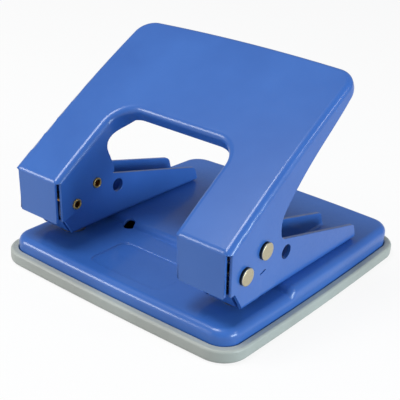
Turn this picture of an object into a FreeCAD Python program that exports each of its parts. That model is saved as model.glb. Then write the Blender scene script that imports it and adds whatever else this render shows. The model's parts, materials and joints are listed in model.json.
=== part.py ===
"""Two-hole desk paper punch: pressed base, chip tray, two brackets, lever handle.

Millimetres, +Z up.  X runs along the hinge, Y from the front (paper side) to the
rear.  The origin is on the table under the middle of the chip tray.
"""
import math
import os

import FreeCAD
import Part

# ---------------------------------------------------------------- driving sizes
# Base plate: a pressed steel pan with slightly bulged sides.
BASE_BESIDE_PUNCH = 12.1    # corner of the skirt beyond the punch axis
BASE_DEPTH = 114.4
SIDE_BULGE = 1.0            # how far the middle of each side stands out
FRONT_BULGE = 0.8
REAR_BULGE = 1.9
FRONT_CORNER_RADIUS = 7.5
REAR_CORNER_RADIUS = 8.7
BASE_SHEET = 1.0
BASE_EDGE_RADIUS = 3.0      # rolled top edge
TABLE_Z = 10.8              # top of the front paper table
THROAT = 2.3                # height of the paper slot
TABLE_RUN = 36.2            # front edge to the foot of the step
STEP_FOOT_RADIUS = 1.0
STEP_CREST_RADIUS = 3.6
PANEL_WIDTH = 34.0          # blank label panel pressed into the table
PANEL_DEPTH = 20.7
PANEL_SETBACK = 5.9         # front edge of the base to the panel
PANEL_CORNER_RADIUS = 3.5
PANEL_SINK = 0.5
PANEL_EDGE_RADIUS = 0.35
VENT_HOLE_RADIUS = 2.3      # round hole in the step, both sides
VENT_HOLE_BESIDE_PUNCH = 15.0
VENT_HOLE_BEHIND_FOOT = 1.05

# Chip tray: moulded plastic, pushed on from below.
TRAY_LEDGE = 3.2            # how far the tray stands out beyond the base plate
TRAY_RIM_Z = 5.4
TRAY_FLOOR = 1.4
TRAY_SEAT_Z = 2.4           # ledge that carries the skirt
TRAY_SEAT_WIDTH = 2.6
TRAY_FOOT_RADIUS = 1.8
TRAY_RIM_RADIUS = 1.0
TRAY_CLEARANCE = 0.3
TRAY_RIB = 1.2
TRAY_RIB_HEIGHT = 2.6

# Punching geometry.
HOLE_SPACING = 80.0         # filing standard
PUNCH_RADIUS = 2.75
PAPER_MARGIN = 12.0         # hole centre to the paper stop
PUNCH_SETBACK = 21.05       # front edge of the base to the punch axis
PUNCH_REST_GAP = 0.3        # punch tip above the underside of the web at rest
PUNCH_NOTCH_RADIUS = 4.5    # hollow ground across the tip
PUNCH_NOTCH_DEPTH = 0.9
HEAD_WIDTH = 11.0
HEAD_LENGTH = 10.0
HEAD_BELOW_RIVET = 4.6
HEAD_ABOVE_RIVET = 4.4
HEAD_EDGE_RADIUS = 0.8
HEAD_SLIDE = 2.0            # free play of the drive rivet along the head's slot
HEAD_LIFT = 0.25            # play of the drive rivet above and below
HEAD_SLOT_FLAT = 0.1        # straight part left at each round end of the slot

# Brackets: U channels of sheet steel, open at the top.
BRACKET_SHEET = 1.5
BRACKET_BEND_RADIUS = 2.5
JOGGLE = 0.25               # the front of each wall stands out by this much
JOGGLE_LENGTH = 2.4
JOGGLE_BEHIND_PUNCH = 0.55
WEB_FRONT_LEAD = 7.85       # front of the web ahead of the punch axis
NOSE_BEHIND_PUNCH = 68.6    # rear end of the bracket behind the punch axis
NOSE_HEIGHT = 7.2
NOSE_LEAN = 2.6             # top of the rear end ahead of its foot
NOSE_TOP_RADIUS = 3.6
NOSE_FOOT_RADIUS = 1.2
WING_SLOPE = 0.230          # fall of the wing's upper edge per mm towards the rear
WALL_TOP_RISE = 10.9        # top of the walls above the pivot
WALL_CORNER_RADIUS = 0.8
CHEST_FOOT_RADIUS = 3.0     # wall's front edge, where it turns upright
CHEST_RISE = 2.9            # end of the upright front edge above the pivot
CHEST_TOP_RADIUS = 4.5
BROW_BEHIND_PIVOT = 2.55    # front end of the wall's level top
BROW_RADIUS = 2.5
WALL_TAIL = 22.55           # rear edge of the tall wall behind the pivot
WALL_THROAT_RADIUS = 4.2    # hollow between the tall wall and the wing
WALL_CHEST = 3.2            # wall in front of the pivot, clear of the handle's front
WALL_HOLE_RADIUS = 2.75
WALL_HOLE_BEHIND_PIVOT = 27.3
WALL_HOLE_DROP = 1.8        # hole centre below the pivot
RELIEF_LENGTH = 3.3         # slit in the outer wall at the top of the joggle
RELIEF_WIDTH = 0.6
RELIEF_ANGLE = 11.0
RELIEF_BEHIND_PIVOT = 13.3
RELIEF_DROP = 4.4
FLAP_LEAN = 0.68            # forward lean of the flap and of the walls, per mm of rise
FLAP_SHEET = 1.2
FLAP_RISE = 6.4
FLAP_BEND_RADIUS = 1.6
FLAP_SLIT = 1.1
STOP_LUG_WIDTH = 7.0
STOP_LUG_CLEARANCE = 0.2
GUIDE_WALL = 0.85
GUIDE_HEIGHT = 6.4          # sleeve above the web
GUIDE_FLANGE_RADIUS = 5.2
GUIDE_FLANGE = 1.0
RIVET_ROW = (29.25, 57.25)  # bracket rivets behind the punch axis
FIX_RIVET_RADIUS = 1.6
FIX_RIVET_HEAD_RADIUS = 3.0
FIX_RIVET_TAIL_RADIUS = 2.6
FIX_RIVET_HEAD = 0.9
FIX_RIVET_EDGE = 0.35

# Return springs and dies.
SPRING_WIRE_RADIUS = 0.4
SPRING_RADIUS = 4.4
SPRING_TURNS = 6.0
POINTS_PER_TURN = 16        # places where the coil's centreline is worked out
SPRING_SEAT_GAP = 0.05      # coil's ends to their seats
WASHER = 0.8
WASHER_RADIUS = 5.0
DIE_WALL = 1.9
DIE_DEPTH = 3.0             # die below the underside of the table
DIE_FLANGE = 1.5
DIE_FLANGE_RADIUS = 6.4

# Lever handle: one pressed sheet with two channel-shaped legs.
LEG_OUTSIDE = 10.0          # outer flange's surface beyond the punch axis
LEG_INSIDE = 12.9           # inner flange's surface inside the punch axis
HANDLE_SHEET = 1.2
HANDLE_BEND_RADIUS = 2.6
PLATE_CHORD = 85.3          # fold line to the rear edge, along the plate
PLATE_FRONT_ANGLE = 36.8    # slope of the arched plate at the fold
PLATE_REAR_ANGLE = 29.5
PLATE_REAR_BOW = 1.73
PLATE_CORNER_RADIUS = 8.2
WINDOW_DEPTH = 39.4         # fold line to the window's rear lip
WINDOW_CORNER_RADIUS = 9.5
LIP_DEPTH = 6.1
REAR_LIP_DEPTH = 4.6
FACE_LEAN = 4.5             # the leg's front face leans back, degrees
FACE_DROP = 6.9             # bottom of the front face below the pivot
FLANGE_DROP = 5.8           # lowest corner of the side flange below the pivot
FLANGE_SETBACK = 1.4        # front edge of the flanges behind the front face
HEEL = (7.15, -1.6)         # corners of the inner flanges' lower edge: behind, above the pivot
CALF = (15.35, 2.8)
OUTER_HEEL = (9.3, -2.7)    # corners of the outer flanges' lower edge, likewise
OUTER_CALF = (14.0, -1.5)
TAIL = (20.15, 7.8)
OUTER_HOLLOW = ((-0.1, 6.0), (3.4, 11.2), (18.4, 25.6))  # outer flange's rear edge from the tail
OUTER_HOLLOW_END = 6.0      # its upper end ahead of the plate's rear edge
INNER_HOLLOW = ((-1.6, 4.7), (-3.9, 9.5), (-4.3, 11.4), (-3.7, 13.1), (-0.6, 15.4))  # inner flange's, likewise
LIP_START = 38.5            # front end of the window's lip, along the plate
LIP_END = 60.0              # where the rear lip's depth takes over, along the plate
SLOT_TOP_RISE = 10.2        # top of the corner slots above the pivot
SLOT_CORNER_RADIUS = 0.7
SLOT_INSET = 1.8            # edge of the front face inside the flange's surface

# Hinge.
PIVOT_Z = 28.4
FOLD_AHEAD = 9.65           # fold line in front of the pivot
FOLD_ABOVE = 11.2           # fold line above the pivot
PUNCH_BEHIND_PIVOT = 11.1
DRIVE_RADIUS = 11.8         # pivot to drive rivet
DRIVE_ANGLE = 28.2          # drive rivet above the horizontal at rest
HANDLE_TRAVEL = 30.0        # degrees

# Handle rivets: solid head outside, rolled tubular end inside.
RIVET_RADIUS = 1.8
RIVET_HEAD_RADIUS = 3.2
RIVET_HEAD = 1.35
RIVET_HEAD_EDGE = 0.3
RIVET_ROLL_RADIUS = 2.05
RIVET_ROLL = 0.7
RIVET_ROLL_EDGE = 0.3
RIVET_BORE_RADIUS = 1.3
RIVET_BORE_DEPTH = 6.0
SPACER_WALL = 1.4

# Fits.
RUNNING_FIT = 0.06          # radial, rivet in bracket, punch in guide
SNUG_FIT = 0.03             # radial, pieces that are pressed or clamped
SLOT_CLEARANCE = 0.35       # drive rivet in the bracket's curved slot
SIDE_CLEARANCE = 0.3        # along the hinge, between pieces that turn

# Working room of the shaping tools.
JOIN = 0.1                  # overlap of two solids that become one
OVERSHOOT = 5.0             # how far a cutting shape stands out of what it cuts
NEAR = 0.01                 # tolerance when faces and edges are picked by place
OVER_PLATE = 40.0           # reach of tools that cut across the plate
UNDER_PLATE = 60.0
SOLVER_STEPS = 20

# ---------------------------------------------------------------- derived places
PUNCH_X = HOLE_SPACING / 2
BASE_WIDTH = HOLE_SPACING + 2 * BASE_BESIDE_PUNCH
BASE_CENTRE_Y = (FRONT_BULGE - REAR_BULGE) / 2
FRONT_Y = BASE_CENTRE_Y - BASE_DEPTH / 2
REAR_Y = BASE_CENTRE_Y + BASE_DEPTH / 2
PLATFORM_Z = TABLE_Z + THROAT
STEP_FOOT_Y = FRONT_Y + TABLE_RUN
VENT_HOLE_X = PUNCH_X - VENT_HOLE_BESIDE_PUNCH
PUNCH_Y = FRONT_Y + PUNCH_SETBACK
PIVOT_Y = PUNCH_Y - PUNCH_BEHIND_PIVOT
WEB_TOP = PLATFORM_Z + BRACKET_SHEET
FLANGE_X = PUNCH_X + LEG_OUTSIDE         # outer surface of the outer flanges
INNER_FLANGE_X = PUNCH_X - LEG_INSIDE    # window side of the inner flanges
BRACKET_WIDTH = 2 * (LEG_OUTSIDE - HANDLE_SHEET - SIDE_CLEARANCE - JOGGLE)
DRIVE_Y = PIVOT_Y + DRIVE_RADIUS * math.cos(math.radians(DRIVE_ANGLE))
DRIVE_Z = PIVOT_Z + DRIVE_RADIUS * math.sin(math.radians(DRIVE_ANGLE))
HEAD_BOTTOM_Z = DRIVE_Z - HEAD_BELOW_RIVET
GUIDE_RADIUS = PUNCH_RADIUS + RUNNING_FIT + GUIDE_WALL
FAR = 400.0                              # longer than the whole object


def vec(x, y, z):
    return FreeCAD.Vector(x, y, z)


def cylinder_x(radius, x0, x1, y, z):
    return Part.makeCylinder(radius, x1 - x0, vec(x0, y, z), vec(1, 0, 0))


def cylinder_z(radius, z0, z1, x, y):
    return Part.makeCylinder(radius, z1 - z0, vec(x, y, z0), vec(0, 0, 1))


def box(x0, x1, y0, y1, z0, z1):
    return Part.makeBox(x1 - x0, y1 - y0, z1 - z0, vec(x0, y0, z0))


def rounded_wire(points, place):
    """Closed wire through (a, b, radius) corners; place() turns (a, b) into 3D."""
    count = len(points)
    stretches = []
    for i in range(count):
        a, b, radius = points[i]
        here = FreeCAD.Vector(a, b, 0)
        before = FreeCAD.Vector(*points[i - 1][:2], 0) - here
        after = FreeCAD.Vector(*points[(i + 1) % count][:2], 0) - here
        before.normalize()
        after.normalize()
        if radius <= 0:
            stretches.append((here, here, here))
            continue
        half = before.getAngle(after) / 2
        tangent = radius / math.tan(half)
        middle = before + after
        middle.normalize()
        centre = here + middle * (radius / math.sin(half))
        crown = centre - middle * radius
        stretches.append((here + before * tangent, crown, here + after * tangent))
    edges = []
    for i, (start, crown, end) in enumerate(stretches):
        if start != end:
            edges.append(Part.Arc(place(start), place(crown), place(end)).toShape())
        following = stretches[(i + 1) % count][0]
        if (following - end).Length > 1e-6:
            edges.append(Part.LineSegment(place(end), place(following)).toShape())
    return Part.Wire(edges)


def side_prism(points, x0, x1):
    """Prism along X over a rounded outline given as (y, z, radius)."""
    wire = rounded_wire(points, lambda p: vec(x0, p.x, p.y))
    return Part.Face(wire).extrude(vec(x1 - x0, 0, 0))


def mirrored(shape):
    return shape.mirror(vec(0, 0, 0), vec(1, 0, 0))


# ---------------------------------------------------------------- base and tray
def bulged_slab(grow, z0, z1):
    """Slab with the base's plan outline, grown all round."""
    half = BASE_WIDTH / 2 + grow
    front = FRONT_Y - grow
    rear = REAR_Y + grow
    middle = (front + rear) / 2
    corners = [vec(-half, front, z0), vec(half, front, z0), vec(half, rear, z0), vec(-half, rear, z0)]
    crowns = [vec(0, front - FRONT_BULGE, z0), vec(half + SIDE_BULGE, middle, z0),
              vec(0, rear + REAR_BULGE, z0), vec(-half - SIDE_BULGE, middle, z0)]
    edges = [Part.Arc(corners[i], crowns[i], corners[(i + 1) % 4]).toShape() for i in range(4)]
    slab = Part.Face(Part.Wire(edges)).extrude(vec(0, 0, z1 - z0))
    upright = [e for e in slab.Edges if e.BoundBox.ZLength > z1 - z0 - NEAR]
    slab = slab.makeFillet(FRONT_CORNER_RADIUS + grow, [e for e in upright if e.CenterOfMass.y < middle])
    upright = [e for e in slab.Edges if e.BoundBox.ZLength > z1 - z0 - NEAR]
    return slab.makeFillet(REAR_CORNER_RADIUS + grow, [e for e in upright if e.BoundBox.YMin > rear - NEAR])


def step_angle():
    """Steepest slope of the step between the table and the platform."""
    return math.acos(1 - THROAT / (STEP_FOOT_RADIUS + STEP_CREST_RADIUS))


def above_top(drop):
    """Everything above the base's stepped top surface lowered by drop."""
    angle = step_angle()
    foot = STEP_FOOT_RADIUS + drop
    crest = STEP_CREST_RADIUS - drop
    low = TABLE_Z - drop
    high = PLATFORM_Z - drop
    foot_y = STEP_FOOT_Y
    crest_y = foot_y + (foot + crest) * math.sin(angle)
    half = angle / 2
    join = vec(0, foot_y + foot * math.sin(angle), low + foot * (1 - math.cos(angle)))
    foot_mid = vec(0, foot_y + foot * math.sin(half), low + foot * (1 - math.cos(half)))
    crest_mid = vec(0, crest_y - crest * math.sin(half), high - crest * (1 - math.cos(half)))
    corners = [vec(0, -FAR, low), vec(0, foot_y, low), join, vec(0, crest_y, high),
               vec(0, FAR, high), vec(0, FAR, FAR), vec(0, -FAR, FAR)]
    edges = [Part.LineSegment(corners[0], corners[1]).toShape(),
             Part.Arc(corners[1], foot_mid, join).toShape(),
             Part.Arc(join, crest_mid, corners[3]).toShape()]
    for i in (3, 4, 5, 6):
        edges.append(Part.LineSegment(corners[i], corners[(i + 1) % 7]).toShape())
    face = Part.Face(Part.Wire(edges))
    face.translate(vec(-FAR / 2, 0, 0))
    return face.extrude(vec(FAR, 0, 0))


def base_body(drop, bottom):
    """Solid pan of the base, its skin lowered and drawn in by drop."""
    body = bulged_slab(-drop, bottom, PLATFORM_Z + OVERSHOOT).cut(above_top(drop))
    rim = [e for e in body.Edges
           if e.BoundBox.ZMin > TABLE_Z - drop - NEAR and not isinstance(e.Curve, Part.Line)]
    return body.makeFillet(BASE_EDGE_RADIUS - drop, rim)


def panel_pocket():
    front = FRONT_Y + PANEL_SETBACK
    half = PANEL_WIDTH / 2
    corners = [(-half, front), (half, front), (half, front + PANEL_DEPTH), (-half, front + PANEL_DEPTH)]
    outline = [(x, y, PANEL_CORNER_RADIUS) for x, y in corners]
    floor = TABLE_Z - PANEL_SINK
    wire = rounded_wire(outline, lambda p: vec(p.x, p.y, floor))
    pocket = Part.Face(wire).extrude(vec(0, 0, OVERSHOOT))
    rim = [e for e in pocket.Edges if e.BoundBox.ZMax < floor + NEAR]
    return pocket.makeFillet(PANEL_EDGE_RADIUS, rim)


def make_base_plate():
    shell = base_body(0, TRAY_SEAT_Z).cut(base_body(BASE_SHEET, TRAY_SEAT_Z - OVERSHOOT))
    shell = shell.cut(panel_pocket())
    for side in (-1, 1):
        hole_x = side * PUNCH_X
        vent_y = STEP_FOOT_Y + VENT_HOLE_BEHIND_FOOT
        tools = [cylinder_z(PUNCH_RADIUS + RUNNING_FIT + DIE_WALL + SNUG_FIT, 0, FAR, hole_x, PUNCH_Y),
                 cylinder_z(VENT_HOLE_RADIUS, 0, FAR, side * VENT_HOLE_X, vent_y)]
        for behind in RIVET_ROW:
            tools.append(cylinder_z(FIX_RIVET_RADIUS + SNUG_FIT, 0, FAR, hole_x, PUNCH_Y + behind))
        for tool in tools:
            shell = shell.cut(tool)
    return shell


def make_chip_tray():
    tray = bulged_slab(TRAY_LEDGE, 0, TRAY_RIM_Z)
    foot = [e for e in tray.Edges if e.BoundBox.ZMax < NEAR]
    tray = tray.makeFillet(TRAY_FOOT_RADIUS, foot)
    rim = [e for e in tray.Edges if e.BoundBox.ZMin > TRAY_RIM_Z - NEAR]
    tray = tray.makeFillet(TRAY_RIM_RADIUS, rim)
    tray = tray.cut(bulged_slab(TRAY_CLEARANCE, TRAY_SEAT_Z, TRAY_RIM_Z + OVERSHOOT))
    tray = tray.cut(bulged_slab(-TRAY_SEAT_WIDTH, TRAY_FLOOR, TRAY_RIM_Z + OVERSHOOT))
    half = BASE_WIDTH / 2 - TRAY_SEAT_WIDTH
    for y in (STEP_FOOT_Y, (STEP_FOOT_Y + REAR_Y) / 2):
        rib = box(-half, half, y - TRAY_RIB / 2, y + TRAY_RIB / 2, TRAY_FLOOR, TRAY_FLOOR + TRAY_RIB_HEIGHT)
        tray = tray.fuse(rib)
    return tray.removeSplitter()


# ---------------------------------------------------------------- brackets
def channel_section(half, y):
    """U section across the bracket at y, walls higher than needed."""
    inner = half - BRACKET_SHEET
    bend = BRACKET_BEND_RADIUS
    inner_bend = bend - BRACKET_SHEET
    top = PIVOT_Z + WALL_TOP_RISE + OVERSHOOT
    outline = [(-half, top, 0), (-half, PLATFORM_Z, bend), (half, PLATFORM_Z, bend), (half, top, 0),
               (inner, top, 0), (inner, WEB_TOP, inner_bend), (-inner, WEB_TOP, inner_bend),
               (-inner, top, 0)]
    return rounded_wire(outline, lambda p: vec(p.x, y, p.y))


def channel():
    """Channel with the front part a little wider than the rear part."""
    half = BRACKET_WIDTH / 2
    joggle_y = PUNCH_Y + JOGGLE_BEHIND_PUNCH
    front_y = PIVOT_Y - WALL_CHEST - OVERSHOOT
    front = channel_section(half + JOGGLE, front_y)
    wide = channel_section(half + JOGGLE, joggle_y)
    narrow = channel_section(half, joggle_y + JOGGLE_LENGTH)
    front_part = Part.Face(front).extrude(vec(0, joggle_y - front_y, 0))
    rear_part = Part.Face(narrow).extrude(vec(0, NOSE_BEHIND_PUNCH, 0))
    joint = Part.makeLoft([wide, narrow], True, True)
    return front_part.fuse([joint, rear_part])


def bracket_outline():
    """Side view of the walls, front edge first, as (y, z, radius)."""
    web_front = PUNCH_Y - WEB_FRONT_LEAD
    chest_y = PIVOT_Y - WALL_CHEST
    chest_z = PLATFORM_Z + (web_front - chest_y) / FLAP_LEAN
    nose_y = PUNCH_Y + NOSE_BEHIND_PUNCH
    nose_top = PLATFORM_Z + NOSE_HEIGHT
    tail_y = PIVOT_Y + WALL_TAIL
    wall_top = PIVOT_Z + WALL_TOP_RISE
    nose_crown = nose_y - NOSE_LEAN
    return [(web_front, PLATFORM_Z, WALL_CORNER_RADIUS), (chest_y, chest_z, CHEST_FOOT_RADIUS),
            (chest_y, PIVOT_Z + CHEST_RISE, CHEST_TOP_RADIUS),
            (PIVOT_Y + BROW_BEHIND_PIVOT, wall_top, BROW_RADIUS), (tail_y, wall_top, WALL_CORNER_RADIUS),
            (tail_y, nose_top + WING_SLOPE * (nose_crown - tail_y), WALL_THROAT_RADIUS),
            (nose_crown, nose_top, NOSE_TOP_RADIUS), (nose_y, PLATFORM_Z, NOSE_FOOT_RADIUS)]


def drive_slot(radius):
    """Curved slot swept by the drive rivet as the handle turns, one long prism."""
    top = math.radians(DRIVE_ANGLE)
    low = math.radians(DRIVE_ANGLE - HANDLE_TRAVEL)
    mid = (top + low) / 2

    def at(distance, angle):
        return vec(0, PIVOT_Y + distance * math.cos(angle), PIVOT_Z + distance * math.sin(angle))

    outer = DRIVE_RADIUS + radius
    inner = DRIVE_RADIUS - radius
    turn = radius / DRIVE_RADIUS
    crown = DRIVE_RADIUS / math.cos(turn)
    edges = [Part.Arc(at(outer, low), at(outer, mid), at(outer, top)).toShape(),
             Part.Arc(at(outer, top), at(crown, top + turn), at(inner, top)).toShape(),
             Part.Arc(at(inner, top), at(inner, mid), at(inner, low)).toShape(),
             Part.Arc(at(inner, low), at(crown, low - turn), at(outer, low)).toShape()]
    face = Part.Face(Part.Wire(edges))
    face.translate(vec(-FAR / 2, 0, 0))
    return face.extrude(vec(FAR, 0, 0))


def front_flap():
    """Tongue of the web, bent up and forward to lead the paper in."""
    web_front = PUNCH_Y - WEB_FRONT_LEAD
    run = FLAP_RISE * FLAP_LEAN
    half = BRACKET_WIDTH / 2 - BRACKET_SHEET - FLAP_SLIT
    back = FLAP_SHEET * math.sqrt(1 + FLAP_LEAN ** 2)
    outline = [(web_front + back * 2, PLATFORM_Z, 0), (web_front, PLATFORM_Z, FLAP_BEND_RADIUS),
               (web_front - run, PLATFORM_Z + FLAP_RISE, 0),
               (web_front - run + back, PLATFORM_Z + FLAP_RISE, 0),
               (web_front + back - BRACKET_SHEET * FLAP_LEAN, WEB_TOP, FLAP_BEND_RADIUS - FLAP_SHEET),
               (web_front + back * 2, WEB_TOP, 0)]
    return side_prism(outline, -half, half)


def make_right_bracket():
    half = BRACKET_WIDTH / 2
    inner = half - BRACKET_SHEET
    reach = half + OVERSHOOT
    shape = channel().common(side_prism(bracket_outline(), -reach, reach))
    web_front = PUNCH_Y - WEB_FRONT_LEAD
    notch = 2 * FLAP_SHEET * math.sqrt(1 + FLAP_LEAN ** 2)
    shape = shape.cut(box(-inner, inner, web_front - FLAP_RISE, web_front + notch, 0, WEB_TOP + FLAP_SLIT))
    shape = shape.fuse(front_flap())
    stop_y = PUNCH_Y + PAPER_MARGIN
    shape = shape.fuse(box(-STOP_LUG_WIDTH / 2, STOP_LUG_WIDTH / 2, stop_y, stop_y + BRACKET_SHEET,
                           TABLE_Z + STOP_LUG_CLEARANCE, WEB_TOP))
    tools = [cylinder_x(RIVET_RADIUS + RUNNING_FIT, -reach, reach, PIVOT_Y, PIVOT_Z),
             drive_slot(RIVET_RADIUS + SLOT_CLEARANCE),
             cylinder_x(WALL_HOLE_RADIUS, -reach, reach,
                        PIVOT_Y + WALL_HOLE_BEHIND_PIVOT, PIVOT_Z - WALL_HOLE_DROP),
             cylinder_z(GUIDE_RADIUS + SNUG_FIT, 0, WEB_TOP + OVERSHOOT, 0, PUNCH_Y)]
    for behind in RIVET_ROW:
        tools.append(cylinder_z(FIX_RIVET_RADIUS + SNUG_FIT, 0, WEB_TOP + OVERSHOOT, 0, PUNCH_Y + behind))
    relief = box(0, reach, -RELIEF_LENGTH / 2, RELIEF_LENGTH / 2, -RELIEF_WIDTH / 2, RELIEF_WIDTH / 2)
    relief.rotate(vec(0, 0, 0), vec(1, 0, 0), RELIEF_ANGLE)
    relief.translate(vec(0, PIVOT_Y + RELIEF_BEHIND_PIVOT, PIVOT_Z - RELIEF_DROP))
    tools.append(relief)
    for tool in tools:
        shape = shape.cut(tool)
    shape = shape.removeSplitter()
    shape.translate(vec(PUNCH_X, 0, 0))
    return shape


def make_right_guide_bush():
    bush = cylinder_z(GUIDE_RADIUS, PLATFORM_Z, WEB_TOP + GUIDE_HEIGHT, PUNCH_X, PUNCH_Y)
    bush = bush.fuse(cylinder_z(GUIDE_FLANGE_RADIUS, WEB_TOP, WEB_TOP + GUIDE_FLANGE, PUNCH_X, PUNCH_Y))
    return bush.cut(cylinder_z(PUNCH_RADIUS + RUNNING_FIT, 0, FAR, PUNCH_X, PUNCH_Y))


def make_right_die():
    bottom = TABLE_Z - BASE_SHEET - DIE_DEPTH
    under = TABLE_Z - BASE_SHEET
    bore = PUNCH_RADIUS + RUNNING_FIT
    die = cylinder_z(bore + DIE_WALL, bottom, TABLE_Z, PUNCH_X, PUNCH_Y)
    die = die.fuse(cylinder_z(DIE_FLANGE_RADIUS, under - DIE_FLANGE, under, PUNCH_X, PUNCH_Y))
    return die.cut(cylinder_z(bore, 0, FAR, PUNCH_X, PUNCH_Y))


def fix_rivet(x, y):
    """Rivet through the web and the base plate, headed on both ends."""
    under = PLATFORM_Z - BASE_SHEET
    head = cylinder_z(FIX_RIVET_HEAD_RADIUS, WEB_TOP, WEB_TOP + FIX_RIVET_HEAD, x, y)
    crown = [e for e in head.Edges if e.BoundBox.ZMin > WEB_TOP + FIX_RIVET_HEAD - NEAR]
    head = head.makeFillet(FIX_RIVET_EDGE, crown)
    tail = cylinder_z(FIX_RIVET_TAIL_RADIUS, under - FIX_RIVET_HEAD, under, x, y)
    return cylinder_z(FIX_RIVET_RADIUS, under - JOIN, WEB_TOP + JOIN, x, y).fuse([head, tail])


def make_bracket_rivets():
    rivets = [fix_rivet(side * PUNCH_X, PUNCH_Y + behind) for side in (-1, 1) for behind in RIVET_ROW]
    return Part.makeCompound(rivets)


# ---------------------------------------------------------------- punches
def make_right_punch_pin():
    tip = PLATFORM_Z + PUNCH_REST_GAP
    shank = cylinder_z(PUNCH_RADIUS, tip, HEAD_BOTTOM_Z + JOIN, 0, PUNCH_Y)
    notch_centre = tip - PUNCH_NOTCH_RADIUS + PUNCH_NOTCH_DEPTH
    shank = shank.cut(cylinder_x(PUNCH_NOTCH_RADIUS, -OVERSHOOT, OVERSHOOT, PUNCH_Y, notch_centre))
    head = box(-HEAD_WIDTH / 2, HEAD_WIDTH / 2, PUNCH_Y - HEAD_LENGTH / 2, PUNCH_Y + HEAD_LENGTH / 2,
               HEAD_BOTTOM_Z, DRIVE_Z + HEAD_ABOVE_RIVET)
    head = head.makeFillet(HEAD_EDGE_RADIUS, [e for e in head.Edges if e.BoundBox.ZLength < NEAR])
    half_height = RIVET_RADIUS + HEAD_LIFT
    reach = half_height + HEAD_SLIDE / 2
    turn = half_height - HEAD_SLOT_FLAT / 2
    front, rear = PUNCH_Y - reach, PUNCH_Y + reach
    low, high = DRIVE_Z - half_height, DRIVE_Z + half_height
    outline = [(front, low, turn), (rear, low, turn), (rear, high, turn), (front, high, turn)]
    pin = shank.fuse(head).cut(side_prism(outline, -HEAD_WIDTH, HEAD_WIDTH))
    pin.translate(vec(PUNCH_X, 0, 0))
    return pin


def make_right_spring_washer():
    ring = cylinder_z(WASHER_RADIUS, HEAD_BOTTOM_Z - WASHER, HEAD_BOTTOM_Z, PUNCH_X, PUNCH_Y)
    return ring.cut(cylinder_z(PUNCH_RADIUS + RUNNING_FIT, 0, FAR, PUNCH_X, PUNCH_Y))


def make_right_return_spring():
    """Open coil spring between the guide's flange and the washer."""
    bottom = WEB_TOP + GUIDE_FLANGE + SPRING_SEAT_GAP + SPRING_WIRE_RADIUS
    top = HEAD_BOTTOM_Z - WASHER - SPRING_SEAT_GAP - SPRING_WIRE_RADIUS
    steps = int(SPRING_TURNS * POINTS_PER_TURN)
    points = []
    for i in range(steps + 1):
        angle = 2 * math.pi * i / POINTS_PER_TURN
        rise = (top - bottom) * i / steps
        points.append(vec(SPRING_RADIUS * math.cos(angle), SPRING_RADIUS * math.sin(angle), rise))
    centreline = Part.BSplineCurve()
    centreline.interpolate(points)
    section = Part.Wire(Part.makeCircle(SPRING_WIRE_RADIUS, points[0], vec(0, 1, 0)))
    coil = Part.Wire(centreline.toShape()).makePipeShell([section], True, True)
    coil.translate(vec(PUNCH_X, PUNCH_Y, bottom))
    return coil


# ---------------------------------------------------------------- handle
class Plate:
    """Side view of the arched plate: fold point, arc centre and mean direction."""
    front = math.radians(PLATE_FRONT_ANGLE)
    rear = math.radians(PLATE_REAR_ANGLE)
    mean = (front + rear) / 2
    radius = PLATE_CHORD / (2 * math.sin((front - rear) / 2))
    fold_y = PIVOT_Y - FOLD_AHEAD
    fold_z = PIVOT_Z + FOLD_ABOVE
    centre_y = fold_y + radius * math.sin(front)
    centre_z = fold_z - radius * math.cos(front)

    @classmethod
    def at(cls, angle, drop, x=0.0):
        """Point of the plate, drop below its top, where its slope is angle."""
        reach = cls.radius - drop
        return vec(x, cls.centre_y - reach * math.sin(angle), cls.centre_z + reach * math.cos(angle))

    @classmethod
    def slope_at(cls, run, drop):
        """Slope where the line at run along the mean direction meets the arc."""
        along = vec(0, math.cos(cls.mean), math.sin(cls.mean))
        start = vec(0, cls.fold_y, cls.fold_z) + along * run
        offset = (start - vec(0, cls.centre_y, cls.centre_z)).dot(along)
        return cls.mean - math.asin(offset / (cls.radius - drop))

    @classmethod
    def place(cls, x, run, lift):
        """Point at x, run along the mean direction, lift along its normal."""
        y = cls.fold_y + run * math.cos(cls.mean) - lift * math.sin(cls.mean)
        z = cls.fold_z + run * math.sin(cls.mean) + lift * math.cos(cls.mean)
        return vec(x, y, z)


def plate_prism(points):
    """Prism across the plate over a rounded outline given as (x, run, radius)."""
    wire = rounded_wire(points, lambda p: Plate.place(p.x, p.y, -UNDER_PLATE))
    return Part.Face(wire).extrude(Plate.place(0, 0, OVER_PLATE) - Plate.place(0, 0, -UNDER_PLATE))


def bowed_plan(shrink):
    """Plan prism of the whole plate with its bowed rear edge and round corners."""
    half = FLANGE_X - shrink
    rear = PLATE_CHORD - PLATE_REAR_BOW - shrink
    low = -UNDER_PLATE
    corners = [Plate.place(-half, low, low), Plate.place(half, low, low),
               Plate.place(half, rear, low), Plate.place(-half, rear, low)]
    edges = [Part.LineSegment(corners[3], corners[0]).toShape(),
             Part.LineSegment(corners[0], corners[1]).toShape(),
             Part.LineSegment(corners[1], corners[2]).toShape(),
             Part.Arc(corners[2], Plate.place(0, rear + PLATE_REAR_BOW, low), corners[3]).toShape()]
    across = Plate.place(0, 0, OVER_PLATE) - Plate.place(0, 0, low)
    prism = Part.Face(Part.Wire(edges)).extrude(across)
    middle = Plate.place(0, 0, (OVER_PLATE - UNDER_PLATE) / 2).y
    rear_corners = [e for e in prism.Edges
                    if abs(e.Length - across.Length) < NEAR and e.CenterOfMass.y > middle + NEAR]
    return prism.makeFillet(PLATE_CORNER_RADIUS - shrink, rear_corners)


def window_prism(grow):
    half = INNER_FLANGE_X + grow
    rear = WINDOW_DEPTH + grow
    radius = WINDOW_CORNER_RADIUS + grow
    front = -UNDER_PLATE
    return plate_prism([(-half, front, 0), (half, front, 0), (half, rear, radius), (-half, rear, radius)])


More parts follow.
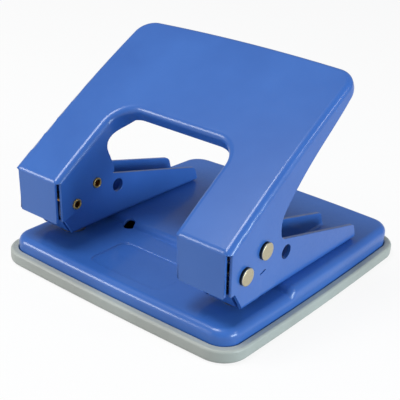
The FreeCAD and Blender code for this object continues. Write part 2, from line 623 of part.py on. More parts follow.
def handle_body(drop):
    """Solid under the handle's skin, the skin lowered and drawn in by drop."""
    lean = math.tan(math.radians(FACE_LEAN))
    setback = drop / math.cos(math.radians(FACE_LEAN))
    depth = FOLD_ABOVE + FACE_DROP + 2 * OVERSHOOT
    front_slope = Plate.front
    fold = Plate.at(front_slope, drop)
    face_at_fold = Plate.fold_y + setback + (Plate.fold_z - fold.z) * lean
    # The arc starts where it meets the leaning front face.
    for _ in range(SOLVER_STEPS):
        front_slope += (fold.y - face_at_fold) / Plate.radius / math.cos(Plate.front)
        fold = Plate.at(front_slope, drop)
        face_at_fold = Plate.fold_y + setback + (Plate.fold_z - fold.z) * lean
    foot = vec(0, Plate.fold_y + setback + depth * lean, Plate.fold_z - depth)
    rear_slope = Plate.rear - OVERSHOOT / Plate.radius
    end = Plate.at(rear_slope, drop)
    middle = Plate.at((front_slope + rear_slope) / 2, drop)
    under = vec(0, end.y, foot.z)
    edges = [Part.Arc(fold, middle, end).toShape(), Part.LineSegment(end, under).toShape(),
             Part.LineSegment(under, foot).toShape(), Part.LineSegment(foot, fold).toShape()]
    face = Part.Face(Part.Wire(edges))
    face.translate(vec(-FLANGE_X, 0, 0))
    body = face.extrude(vec(2 * FLANGE_X, 0, 0))
    body = body.common(bowed_plan(drop)).cut(window_prism(drop))
    skin = max((f for f in body.Faces if isinstance(f.Surface, Part.Cylinder)), key=lambda f: f.Area)
    return body.makeFillet(HANDLE_BEND_RADIUS - drop, skin.Edges)


def lip_arc(drop, first, last):
    """Arc parallel to the plate, drop below its top, between two runs."""
    start = Plate.slope_at(first, drop)
    end = Plate.slope_at(last, drop)
    return Part.Arc(Plate.at(start, drop), Plate.at((start + end) / 2, drop), Plate.at(end, drop)).toShape()


def leg_foot_points(heel, calf):
    """Lower edge of a leg from the front to the tail of its flanges."""
    face_y = PIVOT_Y - FOLD_AHEAD + FLANGE_SETBACK
    return [vec(0, face_y - 2 * OVERSHOOT, PIVOT_Z - FACE_DROP), vec(0, face_y, PIVOT_Z - FACE_DROP),
            vec(0, face_y, PIVOT_Z - FLANGE_DROP), vec(0, PIVOT_Y + heel[0], PIVOT_Z + heel[1]),
            vec(0, PIVOT_Y + calf[0], PIVOT_Z + calf[1]), vec(0, PIVOT_Y + TAIL[0], PIVOT_Z + TAIL[1])]


def below(edges, x0, x1):
    """Everything under a chain of edges in the side view, between two x."""
    first = edges[0].Vertexes[0].Point
    last = edges[-1].Vertexes[-1].Point
    deep = -UNDER_PLATE
    frame = [last, vec(0, last.y, deep), vec(0, first.y, deep), first]
    ring = list(edges)
    for i in range(3):
        ring.append(Part.LineSegment(frame[i], frame[i + 1]).toShape())
    face = Part.Face(Part.Wire(ring))
    face.translate(vec(x0, 0, 0))
    return face.extrude(vec(x1 - x0, 0, 0))


def leg_foot_edges(points):
    return [Part.LineSegment(points[i], points[i + 1]).toShape() for i in range(len(points) - 1)]


def outer_trim():
    """Removes what lies below the side flanges' edge."""
    foot = leg_foot_points(OUTER_HEEL, OUTER_CALF)
    tail = foot[-1]
    rear = lip_arc(REAR_LIP_DEPTH, PLATE_CHORD - OUTER_HOLLOW_END, PLATE_CHORD + 2 * OVERSHOOT)
    curve = Part.BSplineCurve()
    curve.interpolate([tail] + [tail + vec(0, *place) for place in OUTER_HOLLOW] + [rear.Vertexes[0].Point])
    return leg_foot_edges(foot) + [curve.toShape(), rear]


def inner_trim():
    """Removes what lies below the window lip, the inner flanges and the rear lip."""
    foot = leg_foot_points(HEEL, CALF)
    tail = foot[-1]
    lip = lip_arc(LIP_DEPTH, LIP_START, LIP_END)
    rear = lip_arc(REAR_LIP_DEPTH, LIP_END, PLATE_CHORD + 2 * OVERSHOOT)
    lip_start = lip.Vertexes[0].Point
    curve = Part.BSplineCurve()
    curve.interpolate([tail] + [tail + vec(0, *place) for place in INNER_HOLLOW] + [lip_start])
    rise = Part.LineSegment(lip.Vertexes[-1].Point, rear.Vertexes[0].Point).toShape()
    return leg_foot_edges(foot) + [curve.toShape(), lip, rise, rear]


def corner_slot(x0, x1):
    """Gap between a leg's front face and a side flange, round at the top."""
    top = PIVOT_Z + SLOT_TOP_RISE
    face_y = PIVOT_Y - FOLD_AHEAD
    gap = box(x0, x1, face_y - OVERSHOOT, face_y + FLANGE_SETBACK, 0, top)
    crown = [e for e in gap.Edges if e.BoundBox.ZMin > top - NEAR and e.BoundBox.YLength > FLANGE_SETBACK]
    gap = gap.makeFillet(SLOT_CORNER_RADIUS, crown)
    gap.rotate(vec(0, face_y, PIVOT_Z + FOLD_ABOVE), vec(1, 0, 0), FACE_LEAN)
    return gap


def make_handle():
    shell = handle_body(0).cut(handle_body(HANDLE_SHEET))
    split = INNER_FLANGE_X + HANDLE_BEND_RADIUS + JOIN
    for x0, x1, edges in ((-FAR / 2, -split, outer_trim()), (-split, split, inner_trim()),
                          (split, FAR / 2, outer_trim())):
        shell = shell.cut(below(edges, x0, x1))
    inner_edge = INNER_FLANGE_X + SLOT_INSET
    outer_edge = FLANGE_X - SLOT_INSET
    for slot in (corner_slot(outer_edge, FLANGE_X + JOIN), corner_slot(INNER_FLANGE_X - JOIN, inner_edge)):
        shell = shell.cut(slot).cut(mirrored(slot))
    hole = RIVET_RADIUS + SNUG_FIT
    for y, z in ((PIVOT_Y, PIVOT_Z), (DRIVE_Y, DRIVE_Z)):
        shell = shell.cut(cylinder_x(hole, -FAR / 2, FAR / 2, y, z))
    return shell


def leg_rivet(y, z):
    """Semi-tubular rivet across the right leg, head outside, rolled end inside."""
    head = cylinder_x(RIVET_HEAD_RADIUS, FLANGE_X, FLANGE_X + RIVET_HEAD, y, z)
    crown = [e for e in head.Edges if e.BoundBox.XMin > FLANGE_X + RIVET_HEAD - NEAR]
    head = head.makeFillet(RIVET_HEAD_EDGE, crown)
    shank = cylinder_x(RIVET_RADIUS, INNER_FLANGE_X - JOIN, FLANGE_X + JOIN, y, z)
    roll = cylinder_x(RIVET_ROLL_RADIUS, INNER_FLANGE_X - RIVET_ROLL, INNER_FLANGE_X, y, z)
    rivet = shank.fuse([head, roll])
    end = INNER_FLANGE_X - RIVET_ROLL
    rivet = rivet.cut(cylinder_x(RIVET_BORE_RADIUS, end, end + RIVET_BORE_DEPTH, y, z))
    rim = [e for e in rivet.Edges if e.BoundBox.XMax < end + NEAR]
    return rivet.makeFillet(RIVET_ROLL_EDGE, rim)


def spacer(y, z):
    """Tube on a rivet, between the inner flange and the bracket's inner wall."""
    start = INNER_FLANGE_X + HANDLE_SHEET
    end = PUNCH_X - BRACKET_WIDTH / 2 - JOGGLE - SIDE_CLEARANCE
    bore = RIVET_RADIUS + SNUG_FIT
    return cylinder_x(bore + SPACER_WALL, start, end, y, z).cut(cylinder_x(bore, start, end, y, z))


def make_right_pivot_rivet():
    return leg_rivet(PIVOT_Y, PIVOT_Z)


def make_right_drive_rivet():
    return leg_rivet(DRIVE_Y, DRIVE_Z)


def make_right_pivot_spacer():
    return spacer(PIVOT_Y, PIVOT_Z)


def make_right_drive_spacer():
    return spacer(DRIVE_Y, DRIVE_Z)


# ---------------------------------------------------------------- write the parts
SINGLE = {"base_plate": make_base_plate, "chip_tray": make_chip_tray, "handle": make_handle,
          "bracket_rivets": make_bracket_rivets}
PAIRED = {"bracket": make_right_bracket, "guide_bush": make_right_guide_bush, "die": make_right_die,
          "punch_pin": make_right_punch_pin, "spring_washer": make_right_spring_washer,
          "return_spring": make_right_return_spring, "pivot_rivet": make_right_pivot_rivet,
          "drive_rivet": make_right_drive_rivet, "pivot_spacer": make_right_pivot_spacer,
          "drive_spacer": make_right_drive_spacer}


def write(name, shape):
    shape.exportStep(os.path.join("parts", name + ".step"))
    bounds = shape.BoundBox
    print("%-22s solids %d valid %s volume %9.1f  x %.1f..%.1f y %.1f..%.1f z %.1f..%.1f" % (
        name, len(shape.Solids), shape.isValid(), shape.Volume, bounds.XMin, bounds.XMax,
        bounds.YMin, bounds.YMax, bounds.ZMin, bounds.ZMax))


os.makedirs("parts", exist_ok=True)
for part_name, make in SINGLE.items():
    write(part_name, make())
for part_name, make in PAIRED.items():
    right = make()
    write("right_" + part_name, right)
    write("left_" + part_name, mirrored(right))
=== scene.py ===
"""Looks of a two-hole desk punch: enamelled pressed steel, nickelled rivets, moulded tray."""
import json
import math

import bmesh
import bpy
from mathutils import Matrix, Vector


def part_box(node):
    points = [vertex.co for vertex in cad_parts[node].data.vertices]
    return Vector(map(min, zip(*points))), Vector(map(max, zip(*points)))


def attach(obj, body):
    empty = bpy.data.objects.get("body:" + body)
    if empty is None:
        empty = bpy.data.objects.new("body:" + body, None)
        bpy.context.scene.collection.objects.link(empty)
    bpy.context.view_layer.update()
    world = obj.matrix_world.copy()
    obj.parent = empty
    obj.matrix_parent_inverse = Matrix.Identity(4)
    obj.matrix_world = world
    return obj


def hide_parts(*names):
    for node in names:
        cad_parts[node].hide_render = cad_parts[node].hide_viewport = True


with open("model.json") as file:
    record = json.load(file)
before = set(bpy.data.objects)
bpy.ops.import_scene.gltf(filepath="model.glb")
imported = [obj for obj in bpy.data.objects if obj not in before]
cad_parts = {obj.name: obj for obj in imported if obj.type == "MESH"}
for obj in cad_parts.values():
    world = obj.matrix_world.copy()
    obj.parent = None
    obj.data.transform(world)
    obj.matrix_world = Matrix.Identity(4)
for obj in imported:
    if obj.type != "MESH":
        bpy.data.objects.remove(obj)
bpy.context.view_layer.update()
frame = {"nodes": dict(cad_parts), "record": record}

MM = 0.001
SIDES = ("left", "right")
SLOT_OF = {part["node"]: part["material_slot"] for part in frame["record"]["subparts"]}
BODIES = frame["record"]["behaviour"]["bodies"]
BODY_OF = {node: body for body, nodes in BODIES.items() for node in nodes}

# ---------------------------------------------------------------- finishes: colours are linear
ENAMEL_BLUE = (0.044, 0.158, 0.535, 1.0)
ENAMEL_DEEP = (0.034, 0.132, 0.475, 1.0)
TRAY_GREY = (0.47, 0.51, 0.48, 1.0)
TRAY_DUST = (0.40, 0.42, 0.39, 1.0)
HEAD_NICKEL = (0.54, 0.46, 0.29, 1.0)
# pale nickel for the heads' grain, and the painted highlight on their rims
HEAD_PALE_AND_RIM_HIGHLIGHT = (0.74, 0.67, 0.50, 1.0)
# painted shade: dark colour on the sides of the rivet heads
PAINTED_HEAD_SHADE = (0.060, 0.045, 0.030, 1.0)
ROLLED_BRASS = (0.62, 0.43, 0.15, 1.0)
# painted shade: deeper brass inside the rolled tail's hollow
BRASS_IN_PAINTED_SHADE = (0.62, 0.36, 0.08, 1.0)
STEEL = (0.50, 0.50, 0.51, 1.0)
STEEL_DARK = (0.36, 0.36, 0.37, 1.0)
WHITE = (1.0, 1.0, 1.0, 1.0)

# ---------------------------------------------------------------- camera
EYE = Vector((0.18831, -0.26110, 0.16760))
YAW, PITCH, ROLL = math.radians(36.65), math.radians(24.09), math.radians(4.11)
LENS = 80.18
SENSOR_WIDTH = 36.0
NEAR_CLIP = 10.0 * MM


def add_camera():
    level = Vector((math.cos(YAW), math.sin(YAW), 0.0))
    ahead = Vector((-math.sin(YAW), math.cos(YAW), 0.0))
    forward = math.cos(PITCH) * ahead - math.sin(PITCH) * Vector((0.0, 0.0, 1.0))
    upward = level.cross(forward)
    right = math.cos(ROLL) * level + math.sin(ROLL) * upward
    up = -math.sin(ROLL) * level + math.cos(ROLL) * upward
    turn = Matrix((right, up, -forward)).transposed()
    camera = bpy.data.objects.new("camera", bpy.data.cameras.new("camera"))
    camera.data.lens = LENS
    camera.data.sensor_width = SENSOR_WIDTH
    camera.data.clip_start = NEAR_CLIP
    camera.matrix_world = Matrix.Translation(EYE) @ turn.to_4x4()
    bpy.context.scene.collection.objects.link(camera)
    bpy.context.scene.camera = camera


# ---------------------------------------------------------------- node groups
def link(tree, source, target):
    tree.links.new(source, target)


def make_grain_group():
    """Fine noise for orange peel or a moulded skin, and broad noise for cloudy colour."""
    group = bpy.data.node_groups.new("fine_grain", "ShaderNodeTree")
    for label, value in (("Size", 900.0), ("Softness", 0.5)):
        socket = group.interface.new_socket(label, in_out="INPUT", socket_type="NodeSocketFloat")
        socket.default_value = value
    for label in ("Height", "Blotch"):
        group.interface.new_socket(label, in_out="OUTPUT", socket_type="NodeSocketFloat")
    given = group.nodes.new("NodeGroupInput")
    result = group.nodes.new("NodeGroupOutput")
    place = group.nodes.new("ShaderNodeTexCoord")
    fine = group.nodes.new("ShaderNodeTexNoise")
    fine.inputs["Detail"].default_value = 2.0
    broad = group.nodes.new("ShaderNodeTexNoise")
    broad.inputs["Scale"].default_value = 28.0
    broad.inputs["Detail"].default_value = 3.0
    for noise in (fine, broad):
        link(group, place.outputs["Object"], noise.inputs["Vector"])
    link(group, given.outputs["Size"], fine.inputs["Scale"])
    link(group, given.outputs["Softness"], fine.inputs["Roughness"])
    link(group, fine.outputs["Fac"], result.inputs["Height"])
    link(group, broad.outputs["Fac"], result.inputs["Blotch"])
    return group


GRAIN = make_grain_group()


# ---------------------------------------------------------------- materials
def new_material(name, roughness, metallic=0.0):
    material = bpy.data.materials.new(name)
    material.use_nodes = True
    tree = material.node_tree
    shader = tree.nodes["Principled BSDF"]
    shader.inputs["Roughness"].default_value = roughness
    shader.inputs["Metallic"].default_value = metallic
    return material, tree, shader


def add_grain(tree, shader, size, depth, softness=0.5):
    """Grain group that roughens the surface through a bump; its masks are free to use."""
    grain = tree.nodes.new("ShaderNodeGroup")
    grain.node_tree = GRAIN
    grain.inputs["Size"].default_value = size
    grain.inputs["Softness"].default_value = softness
    bump = tree.nodes.new("ShaderNodeBump")
    bump.inputs["Strength"].default_value = 1.0
    bump.inputs["Distance"].default_value = depth
    link(tree, grain.outputs["Height"], bump.inputs["Height"])
    link(tree, bump.outputs["Normal"], shader.inputs["Normal"])
    return grain


def mix_colour(tree, factor, first, second):
    """Blend of two colours; either end may be a colour or another blend."""
    mix = tree.nodes.new("ShaderNodeMix")
    mix.data_type = "RGBA"
    for socket, colour in ((mix.inputs[6], first), (mix.inputs[7], second)):
        if isinstance(colour, tuple):
            socket.default_value = colour
        else:
            link(tree, colour, socket)
    link(tree, factor, mix.inputs[0])
    return mix.outputs[2]


def spread_value(tree, source, start, end, out_start=0.0, out_end=1.0):
    """Value that goes evenly from out_start to out_end as the source goes from start to end."""
    spread = tree.nodes.new("ShaderNodeMapRange")
    spread.inputs["From Min"].default_value = start
    spread.inputs["From Max"].default_value = end
    spread.inputs["To Min"].default_value = out_start
    spread.inputs["To Max"].default_value = out_end
    link(tree, source, spread.inputs["Value"])
    return spread.outputs["Result"]


def make_enamel():
    material, tree, shader = new_material("blue_stove_enamel", 0.36)
    shader.inputs["Specular IOR Level"].default_value = 0.35
    shader.inputs["Coat Weight"].default_value = 0.5
    shader.inputs["Coat Roughness"].default_value = 0.14
    grain = add_grain(tree, shader, 700.0, 0.012 * MM)
    cloudy = spread_value(tree, grain.outputs["Blotch"], 0.35, 0.65)
    link(tree, mix_colour(tree, cloudy, ENAMEL_DEEP, ENAMEL_BLUE), shader.inputs["Base Color"])
    peel = spread_value(tree, grain.outputs["Height"], 0.3, 0.7, 0.33, 0.41)
    link(tree, peel, shader.inputs["Roughness"])
    return material


def make_tray_plastic():
    material, tree, shader = new_material("grey_moulded_plastic", 0.42)
    shader.inputs["Subsurface Weight"].default_value = 0.15
    shader.inputs["Subsurface Radius"].default_value = (2.0 * MM, 2.0 * MM, 2.0 * MM)
    grain = add_grain(tree, shader, 1400.0, 0.02 * MM, 0.6)
    cloudy = spread_value(tree, grain.outputs["Blotch"], 0.3, 0.7)
    link(tree, mix_colour(tree, cloudy, TRAY_DUST, TRAY_GREY), shader.inputs["Base Color"])
    return material


def make_steel():
    material, tree, shader = new_material("ground_steel", 0.36, 1.0)
    grain = add_grain(tree, shader, 1200.0, 0.02 * MM, 0.7)
    ground = mix_colour(tree, grain.outputs["Height"], STEEL_DARK, STEEL)
    link(tree, ground, shader.inputs["Base Color"])
    worn = spread_value(tree, grain.outputs["Blotch"], 0.3, 0.7, 0.30, 0.44)
    link(tree, worn, shader.inputs["Roughness"])
    return material


def across(tree, start, end):
    """0 to 1 as the distance from the middle plane goes from start to end, in metres."""
    place = tree.nodes.new("ShaderNodeTexCoord")
    parts = tree.nodes.new("ShaderNodeSeparateXYZ")
    link(tree, place.outputs["Object"], parts.inputs["Vector"])
    distance = tree.nodes.new("ShaderNodeMath")
    distance.operation = "ABSOLUTE"
    link(tree, parts.outputs["X"], distance.inputs[0])
    return spread_value(tree, distance.outputs["Value"], start, end)


HEAD_SHADE_ENDS = (0.55 * MM, 0.15 * MM)    # below the head's face: painted shade on the side, and bright again
HIGHLIGHT_RIM_ENDS = (0.12 * MM, 0.02 * MM)        # below the head's face: painted highlight on the rim, and the face
ROLLED_END = 0.8 * MM                    # how far the rolled brass reaches into the rivet before the painted shade of its tail
HALF_WAY = (40.0 * MM, 41.0 * MM)        # the tail on the near side, the head beyond


def make_rivet_metal():
    """Nickelled head with painted shade on its side and a painted highlight on its rim, brass where
    the tail is rolled, with painted shade deeper in the tail.
    """
    material, tree, shader = new_material("nickelled_brass_rivet", 0.34, 1.0)
    low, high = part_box("right_pivot_rivet")
    grain = add_grain(tree, shader, 1500.0, 0.02 * MM, 0.7)
    face = mix_colour(tree, grain.outputs["Height"], HEAD_NICKEL, HEAD_PALE_AND_RIM_HIGHLIGHT)
    # painted shade: a dark band round the head's side, below its face
    shaded_band = across(tree, high.x - HEAD_SHADE_ENDS[0], high.x - HEAD_SHADE_ENDS[1])
    side = mix_colour(tree, shaded_band, PAINTED_HEAD_SHADE, HEAD_PALE_AND_RIM_HIGHLIGHT)
    # painted highlight: a bright rim just below the head's face
    head = mix_colour(tree, across(tree, high.x - HIGHLIGHT_RIM_ENDS[0], high.x - HIGHLIGHT_RIM_ENDS[1]), side, face)
    # painted shade: the brass turns deeper inside the tail
    tail = mix_colour(tree, across(tree, low.x, low.x + ROLLED_END), ROLLED_BRASS, BRASS_IN_PAINTED_SHADE)
    whole = mix_colour(tree, across(tree, HALF_WAY[0], HALF_WAY[1]), tail, head)
    link(tree, whole, shader.inputs["Base Color"])
    worn = spread_value(tree, grain.outputs["Blotch"], 0.3, 0.7, 0.30, 0.44)
    link(tree, worn, shader.inputs["Roughness"])
    return material


PLAIN_STEEL = make_steel()
FINISH = {"blue_enamel": make_enamel(), "grey_plastic": make_tray_plastic(),
          "rivet_metal": make_rivet_metal(), "plain_steel": PLAIN_STEEL, "spring_wire": PLAIN_STEEL}


def finish_nodes():
    for name, node in frame["nodes"].items():
        node.data.materials.clear()
        node.data.materials.append(FINISH[SLOT_OF[name]])


# ---------------------------------------------------------------- pressed and moulded pieces
MERGE_REACH = 0.004 * MM
FLAT_ENOUGH = math.radians(0.15)
SHARP_EDGE = math.radians(65.0)          # edges sharper than this are rounded
SMOOTH_EDGE = math.radians(58.0)         # edges flatter than this are shaded as one surface
EDGE_STEPS = 3
HANDLE_EDGE, BASE_EDGE, TRAY_EDGE = 0.30 * MM, 0.30 * MM, 0.35 * MM
BRACKET_EDGE, RIVET_EDGE = 0.15 * MM, 0.06 * MM
JOGGLE_LINES = (-36.15 * MM, -33.75 * MM)   # where the bracket's walls step inwards, in Y
JOGGLE_FOOT = 16.0 * MM                     # above the bracket's web
ON_LINE = 0.01 * MM


def choose(piece):
    bpy.ops.object.select_all(action="DESELECT")
    piece.select_set(True)
    bpy.context.view_layer.objects.active = piece


def merged_copy(node, name):
    """Copy of a node as one closed skin, which stands for the node on its body."""
    piece = frame["nodes"][node].copy()
    piece.data = piece.data.copy()
    piece.name = name
    piece.parent = None
    bpy.context.scene.collection.objects.link(piece)
    choose(piece)
    bpy.ops.object.mode_set(mode="EDIT")
    bpy.ops.mesh.select_all(action="SELECT")
    bpy.ops.mesh.remove_doubles(threshold=MERGE_REACH)
    bpy.ops.mesh.dissolve_limited(angle_limit=FLAT_ENOUGH)
    bpy.ops.object.mode_set(mode="OBJECT")
    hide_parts(node)
    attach(piece, BODY_OF[node])
    return piece


def crease(piece, lines):
    """Keeps the faint lines across a bracket's walls crisp, each at its place in Y."""
    mesh = piece.data
    for edge in mesh.edges:
        ends = [mesh.vertices[i].co for i in edge.vertices]
        for line in lines:
            if all(abs(end.y - line) < ON_LINE and end.z > JOGGLE_FOOT for end in ends):
                edge.use_edge_sharp = True


def round_edges(piece, width, crease_lines=()):
    """Rounds every sharp edge, as deburring and paint do, and evens out the shading."""
    choose(piece)
    bevel = piece.modifiers.new("deburred", "BEVEL")
    bevel.width = width
    bevel.segments = EDGE_STEPS
    bevel.limit_method = "ANGLE"
    bevel.angle_limit = SHARP_EDGE
    bevel.use_clamp_overlap = False
    bevel.loop_slide = False
    bpy.ops.object.modifier_apply(modifier=bevel.name)
    bpy.ops.object.shade_smooth_by_angle(angle=SMOOTH_EDGE)
    crease(piece, crease_lines)
    even = piece.modifiers.new("even_shading", "WEIGHTED_NORMAL")
    even.keep_sharp = True
    bpy.ops.object.modifier_apply(modifier=even.name)


# ---------------------------------------------------------------- the handle's sheet
# An arched plate whose sides, window, rear and front are folded down with one bend radius.
# A run is a length from the front fold's corner, along the plate's chord.
FOLD = Vector((0.0, -57.45 * MM, 39.6 * MM))
FRONT_SLOPE, REAR_SLOPE, FACE_LEAN = math.radians(36.8), math.radians(29.5), math.radians(4.5)
CHORD = 85.3 * MM
ACROSS = Vector((1.0, 0.0, 0.0))
PLATE_OUT = Vector((0.0, -math.sin(FRONT_SLOPE), math.cos(FRONT_SLOPE)))   # at the front fold
FACE_OUT = Vector((0.0, -math.cos(FACE_LEAN), -math.sin(FACE_LEAN)))
ARCH = CHORD / (2 * math.sin((FRONT_SLOPE - REAR_SLOPE) / 2))
ARCH_CENTRE = FOLD - ARCH * PLATE_OUT
MEAN_SLOPE = (FRONT_SLOPE + REAR_SLOPE) / 2
ALONG = Vector((0.0, math.cos(MEAN_SLOPE), math.sin(MEAN_SLOPE)))
OUTSIDE, INSIDE = 50.0 * MM, 27.1 * MM
WINDOW_REAR, WINDOW_CORNER = 39.4 * MM, 9.5 * MM
REAR_BOW, REAR_CORNER, REAR_CORNER_RUN = 1.73 * MM, 8.2 * MM, 75.87 * MM
BEND, SHEET = 2.6 * MM, 1.2 * MM
SLACK = 0.09 * MM            # how far a point of a facet may lie off the true sheet
SAME_SIDE = 0.55             # cosine between a point's rough direction and its true one
SAME_FACE = 0.3              # the same for one face's corner
FOLD_ROWS = 6
FOLD_SAG = 0.38 * MM         # how far a facet of the front fold may lie inside the true curve


def round_corner(side, beyond, run):
    """Distance from a round corner's centre, and the direction outwards from it."""
    out = Vector((side * beyond, 0.0, 0.0)) + run * ALONG
    return math.hypot(beyond, run), out.normalized()


def folds_near(spot):
    """Each folded wall near a spot, as its distance in plan and its outward direction."""
    side = 1.0 if spot.x > 0 else -1.0
    away = abs(spot.x)
    run = (spot - FOLD).dot(ALONG)
    found = [(OUTSIDE - away, side * ACROSS)]
    corner_x, corner_run = INSIDE - WINDOW_CORNER, WINDOW_REAR - WINDOW_CORNER
    if away > corner_x and run > corner_run:
        reach, out = round_corner(side, away - corner_x, run - corner_run)
        found.append((reach - WINDOW_CORNER, -out))
    elif run <= corner_run:
        found.append((away - INSIDE, -side * ACROSS))
    else:
        found.append((run - WINDOW_REAR, -ALONG))
    corner_x = OUTSIDE - REAR_CORNER
    if away > corner_x and run > REAR_CORNER_RUN:
        reach, out = round_corner(side, away - corner_x, run - REAR_CORNER_RUN)
        found.append((REAR_CORNER - reach, out))
    else:
        rear = CHORD - REAR_BOW * (away / OUTSIDE) ** 2
        bowed = ALONG + 2 * REAR_BOW * spot.x / OUTSIDE ** 2 * ACROSS
        found.append((rear - run, bowed.normalized()))
    found.append(((FOLD - spot).dot(FACE_OUT), FACE_OUT))
    return found


def sheet_normal(spot, facing):
    """True direction of the sheet at a spot, on the side that faces one way, or None."""
    radial = Vector((0.0, spot.y - ARCH_CENTRE.y, spot.z - ARCH_CENTRE.z))
    depth = ARCH - radial.length
    plate = radial.normalized()
    best_rank, best_way = None, None
    for distance, wall in folds_near(spot):
        if distance < -SLACK:
            continue
        both = plate.dot(wall)
        high, wide = BEND - depth, BEND - distance
        first = (high - both * wide) / (1 - both * both)
        second = (wide - both * high) / (1 - both * both)
        if second <= 0 and first > 0:
            level, way = high, plate
        elif first <= 0 and second > 0:
            level, way = wide, wall
        elif first > 0 and second > 0:
            bend = first * plate + second * wall
            level, way = bend.length, bend.normalized()
        else:
            continue
        bent = first > 0 and second > 0
        for radius, turn in ((BEND, 1.0), (BEND - SHEET, -1.0)):
            error = abs(level - radius)
            rank = (bent, -error)
            if error < SLACK and facing.dot(way) * turn > SAME_SIDE:
                if best_rank is None or rank > best_rank:
                    best_rank, best_way = rank, way * turn
    return best_way


def true_sheet_shading(piece):
    """Shades the handle by its sheet's true directions, not by its facets."""
    mesh = piece.data
    normals = [corner.vector.copy() for corner in mesh.corner_normals]
    exact = [sheet_normal(vertex.co, vertex.normal) for vertex in mesh.vertices]
    for loop in mesh.loops:
        way = exact[loop.vertex_index]
        if way is not None and normals[loop.index].dot(way) > SAME_FACE:
            normals[loop.index] = way
    mesh.normals_split_custom_set(normals)


def refine_front_folds(piece):
    """Adds rows along both front folds and lays them on the sheet's true curve."""
    middle = FOLD - (PLATE_OUT + FACE_OUT) * BEND / (1 + PLATE_OUT.dot(FACE_OUT))
    inner_end, outer_end = INSIDE + BEND, OUTSIDE - BEND
    cuts = [(side * end * ACROSS, ACROSS) for side in (-1, 1) for end in (inner_end, outer_end)]
    for row in range(1, FOLD_ROWS + 1):
        way = (PLATE_OUT * (FOLD_ROWS + 1 - row) + FACE_OUT * row).normalized()
        cuts.append((middle, ACROSS.cross(way)))
    mesh = bmesh.new()
    mesh.from_mesh(piece.data)
    for spot, normal in cuts:
        near = [face for face in mesh.faces
                if all((v.co - middle).yz.length < BEND + 0.1 * MM for v in face.verts)]
        edges = [edge for face in near for edge in face.edges]
        verts = [v for face in near for v in face.verts]
        parts = list(dict.fromkeys(near + edges + verts))
        bmesh.ops.bisect_plane(mesh, geom=parts, dist=0.001 * MM, plane_co=spot, plane_no=normal)
    for v in mesh.verts:
        out = Vector((0.0, v.co.y - middle.y, v.co.z - middle.z))
        if not inner_end - ON_LINE < abs(v.co.x) < outer_end + ON_LINE:
            continue
        if out.cross(PLATE_OUT).x * out.cross(FACE_OUT).x > 0 or out.dot(PLATE_OUT + FACE_OUT) < 0:
            continue
        for radius in (BEND, BEND - SHEET):
            if -2 * ON_LINE < radius - out.length < FOLD_SAG:
                v.co += out.normalized() * (radius - out.length)
                break
    mesh.to_mesh(piece.data)
    mesh.free()


def make_soft_pieces():
    handle = merged_copy("handle", "lever_handle")
    refine_front_folds(handle)
    round_edges(handle, HANDLE_EDGE)
    true_sheet_shading(handle)
    round_edges(merged_copy("base_plate", "stepped_base"), BASE_EDGE)
    round_edges(merged_copy("chip_tray", "chip_tray_moulding"), TRAY_EDGE)
    for side in SIDES:
        bracket = merged_copy(side + "_bracket", side + "_channel_bracket")
        round_edges(bracket, BRACKET_EDGE, JOGGLE_LINES)
        for kind in ("_pivot_rivet", "_drive_rivet"):
            round_edges(merged_copy(side + kind, side + kind + "_metal"), RIVET_EDGE)


# ---------------------------------------------------------------- studio
PAPER_SEEN = (0.95, 0.95, 0.95, 1.0)
PAPER_BOUNCE = (0.40, 0.40, 0.40, 1.0)   # what the paper gives back to the punch
GLOW_SEEN, GLOW_IN_GLOSS = 0.88, 0.55
SKY_SOFT, SKY_STRENGTH = (0.93, 0.96, 1.0, 1.0), 0.28
DAYLIGHT = (0.80, 0.94, 1.0)
SOFTBOX = (1.0, 1.0, 1.0)
# name, place, target, size, watts, colour
LAMPS = (
    ("top_softbox", (-0.18, -0.30, 0.91), (0.0, 0.0, 0.03), (0.40, 0.36), 4.9, SOFTBOX),
    ("right_window", (0.96, 0.05, 0.15), (0.0, 0.0, 0.04), (0.50, 0.26), 6.2, DAYLIGHT),
    ("right_strip", (0.76, 0.27, 0.52), (0.0, 0.0, 0.05), (0.14, 0.14), 0.60, SOFTBOX),
    ("front_window", (-0.66, -0.80, 0.22), (0.0, 0.0, 0.04), (0.46, 0.30), 4.2, SOFTBOX),
)


def math_node(tree, operation, factor):
    node = tree.nodes.new("ShaderNodeMath")
    node.operation = operation
    node.inputs[1].default_value = factor
    return node


def mix_shaders(tree, factor, first, second, output):
    blend = tree.nodes.new("ShaderNodeMixShader")
    link(tree, factor, blend.inputs["Fac"])
    link(tree, first, blend.inputs[1])
    link(tree, second, blend.inputs[2])
    link(tree, blend.outputs["Shader"], tree.nodes[output].inputs["Surface"])


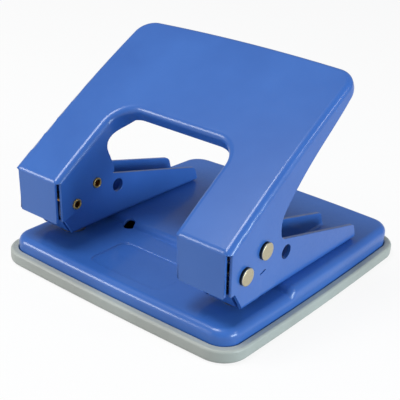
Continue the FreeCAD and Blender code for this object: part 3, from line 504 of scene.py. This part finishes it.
def make_floor_material():
    """White paper: shows white to the camera and in gloss, and keeps a soft shadow."""
    material, tree, shader = new_material("studio_paper", 0.9)
    rays = tree.nodes.new("ShaderNodeLightPath")
    paper = mix_colour(tree, rays.outputs["Is Camera Ray"], PAPER_BOUNCE, PAPER_SEEN)
    link(tree, paper, shader.inputs["Base Color"])
    glow = tree.nodes.new("ShaderNodeEmission")
    glow.inputs["Strength"].default_value = 1.0
    gloss = math_node(tree, "MULTIPLY", GLOW_IN_GLOSS)
    link(tree, rays.outputs["Is Glossy Ray"], gloss.inputs[0])
    share = math_node(tree, "MULTIPLY_ADD", GLOW_SEEN)
    link(tree, rays.outputs["Is Camera Ray"], share.inputs[0])
    link(tree, gloss.outputs["Value"], share.inputs[2])
    mix_shaders(tree, share.outputs["Value"], shader.outputs["BSDF"], glow.outputs["Emission"],
                "Material Output")
    return material


def add_floor():
    bpy.ops.object.select_all(action="DESELECT")
    bpy.ops.mesh.primitive_plane_add(size=6.0, location=(0.0, 0.0, 0.0))
    floor = bpy.context.object
    floor.name = "studio_floor"
    floor.data.materials.append(make_floor_material())


def add_world():
    """Soft pale light from all round, and a white background for the camera alone."""
    world = bpy.data.worlds.new("studio")
    bpy.context.scene.world = world
    world.use_nodes = True
    tree = world.node_tree
    soft = tree.nodes["Background"]
    soft.inputs["Color"].default_value = SKY_SOFT
    soft.inputs["Strength"].default_value = SKY_STRENGTH
    white = tree.nodes.new("ShaderNodeBackground")
    white.inputs["Color"].default_value = WHITE
    rays = tree.nodes.new("ShaderNodeLightPath")
    mix_shaders(tree, rays.outputs["Is Camera Ray"], soft.outputs["Background"],
                white.outputs["Background"], "World Output")


def add_lamp(name, place, target, size, watts, colour):
    lamp = bpy.data.objects.new(name, bpy.data.lights.new(name, "AREA"))
    lamp.data.shape = "RECTANGLE"
    lamp.data.size, lamp.data.size_y = size
    lamp.data.energy = watts
    lamp.data.color = colour
    aim = (Vector(target) - Vector(place)).to_track_quat("-Z", "Y")
    lamp.matrix_world = Matrix.Translation(place) @ aim.to_matrix().to_4x4()
    bpy.context.scene.collection.objects.link(lamp)


add_camera()
add_world()
add_floor()
for lamp_row in LAMPS:
    add_lamp(*lamp_row)
finish_nodes()
make_soft_pieces()

bpy.context.scene.view_settings.view_transform = "Standard"
